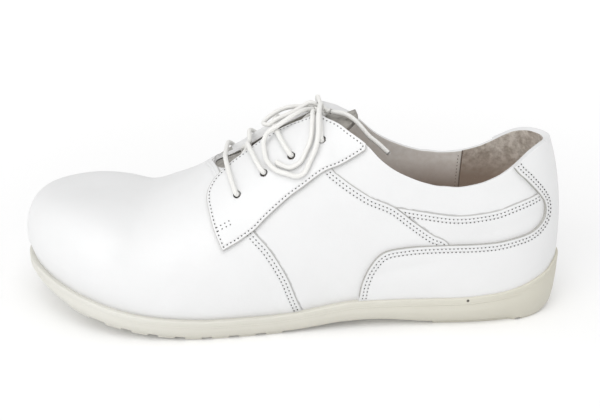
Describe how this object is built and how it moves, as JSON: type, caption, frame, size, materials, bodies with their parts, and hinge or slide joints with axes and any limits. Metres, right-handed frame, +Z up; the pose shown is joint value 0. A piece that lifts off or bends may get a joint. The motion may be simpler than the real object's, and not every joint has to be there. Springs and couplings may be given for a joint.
{
  "type": "left leather sneaker",
  "caption": "Low lace-up leather sneaker for the left foot, with a round toe, open lacing over a suede tongue and a one-piece lugged rubber sole.",
  "frame": {"origin": "on the floor, below the middle of the sole's length and width", "axes": "+X from heel to toe, +Y to the lateral side of the foot, +Z up"},
  "size_m": [0.2859, 0.1039, 0.1123],
  "materials": {
    "white_leather": "smooth, satin",
    "grey_suede": "suede",
    "tan_leather": "matt",
    "sole_rubber": "matt",
    "lace_cord": "round braid"
  },
  "bodies": {
    "root": {"outsole": "sole_rubber", "insole": "tan_leather", "upper": "white_leather", "heel_counter": "white_leather", "facing_lateral": "white_leather", "facing_medial": "white_leather", "tongue": "grey_suede", "lace_bar": "lace_cord", "lace_crossing_1": "lace_cord", "lace_crossing_2": "lace_cord", "lace_crossing_3": "lace_cord", "lace_riser_lateral": "lace_cord", "lace_riser_medial": "lace_cord", "lace_knot": "lace_cord", "lace_loop_lateral": "lace_cord", "lace_loop_front": "lace_cord", "lace_end_front": "lace_cord", "lace_end_back": "lace_cord"}
  },
  "joints": []
}
